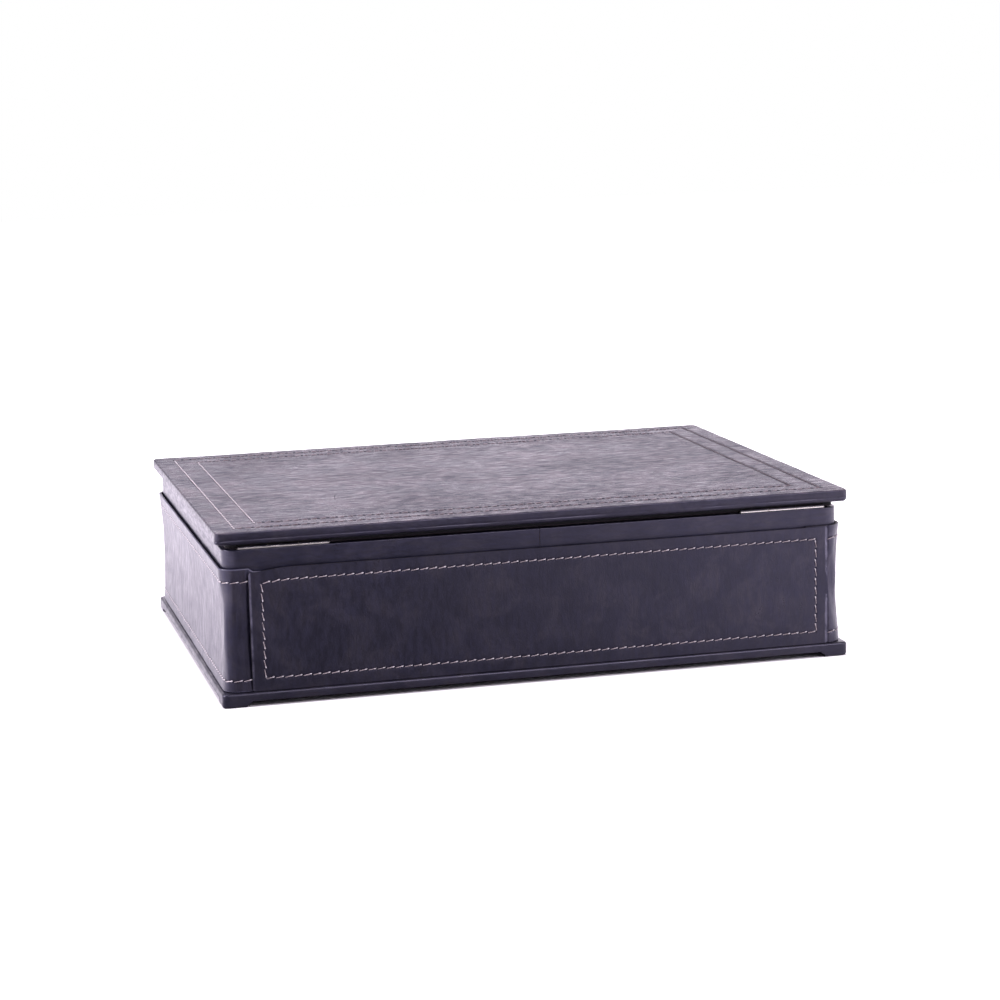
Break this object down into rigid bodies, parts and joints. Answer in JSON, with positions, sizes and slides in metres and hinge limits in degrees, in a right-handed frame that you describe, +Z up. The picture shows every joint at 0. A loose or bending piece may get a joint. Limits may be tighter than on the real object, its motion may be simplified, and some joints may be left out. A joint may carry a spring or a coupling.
{
  "type": "stationery box",
  "caption": "Flat leather-covered box for papers with an overhanging back-hinged lid, stitched bands and panels, and a base with corner feet.",
  "frame": {"origin": "centre of the outline on the surface that the feet stand on", "axes": "+X along the length to the right as seen from the front, +Y to the back where the hinges are, +Z up"},
  "size_m": [0.36, 0.27, 0.0966],
  "materials": {
    "lid_leather": "waxed semi-gloss",
    "wall_leather": "smooth semi-matt",
    "band_leather": "smooth semi-gloss",
    "panel_leather": "smooth semi-matt",
    "base_leather": "smooth semi-matt",
    "board": "sanded fibreboard",
    "card": "plain grey card",
    "suede": "napped suede",
    "felt": "pressed felt",
    "thread": "waxed twisted thread",
    "nickel": "nickel plated"
  },
  "bodies": {
    "box": {"back_panel": "panel_leather", "back_panel_card": "card", "back_panel_stitching": "thread", "band_left": "band_leather", "band_right": "band_leather", "band_stitching_left": "thread", "band_stitching_right": "thread", "base_board": "board", "base_felt": "felt", "base_leather": "base_leather", "floor_lining": "suede", "foot_back_left": "base_leather", "foot_back_right": "base_leather", "foot_front_left": "base_leather", "foot_front_right": "base_leather", "front_panel": "panel_leather", "front_panel_card": "card", "front_panel_stitching": "thread", "hinge_left_body_leaf": "nickel", "hinge_left_pin": "nickel", "hinge_right_body_leaf": "nickel", "hinge_right_pin": "nickel", "hinge_screws_body": "nickel", "wall_back": "board", "wall_front": "board", "wall_leather": "wall_leather", "wall_left": "board", "wall_lining_back": "suede", "wall_lining_front": "suede", "wall_lining_left": "suede", "wall_lining_right": "suede", "wall_right": "board"},
    "lid": {"hinge_left_lid_leaf": "nickel", "hinge_right_lid_leaf": "nickel", "hinge_screws_lid": "nickel", "lid_board": "board", "lid_card": "card", "lid_leather": "lid_leather", "lid_lining": "suede", "lid_lining_board": "board", "lid_stitching_inner": "thread", "lid_stitching_outer": "thread"}
  },
  "joints": [
    {"name": "lid_hinge", "type": "hinge", "parent": "box", "child": "lid", "pos_m": [0, 0.12825, 0.08625], "axis": [-1, 0, 0], "range_deg": [0, 94]}
  ]
}
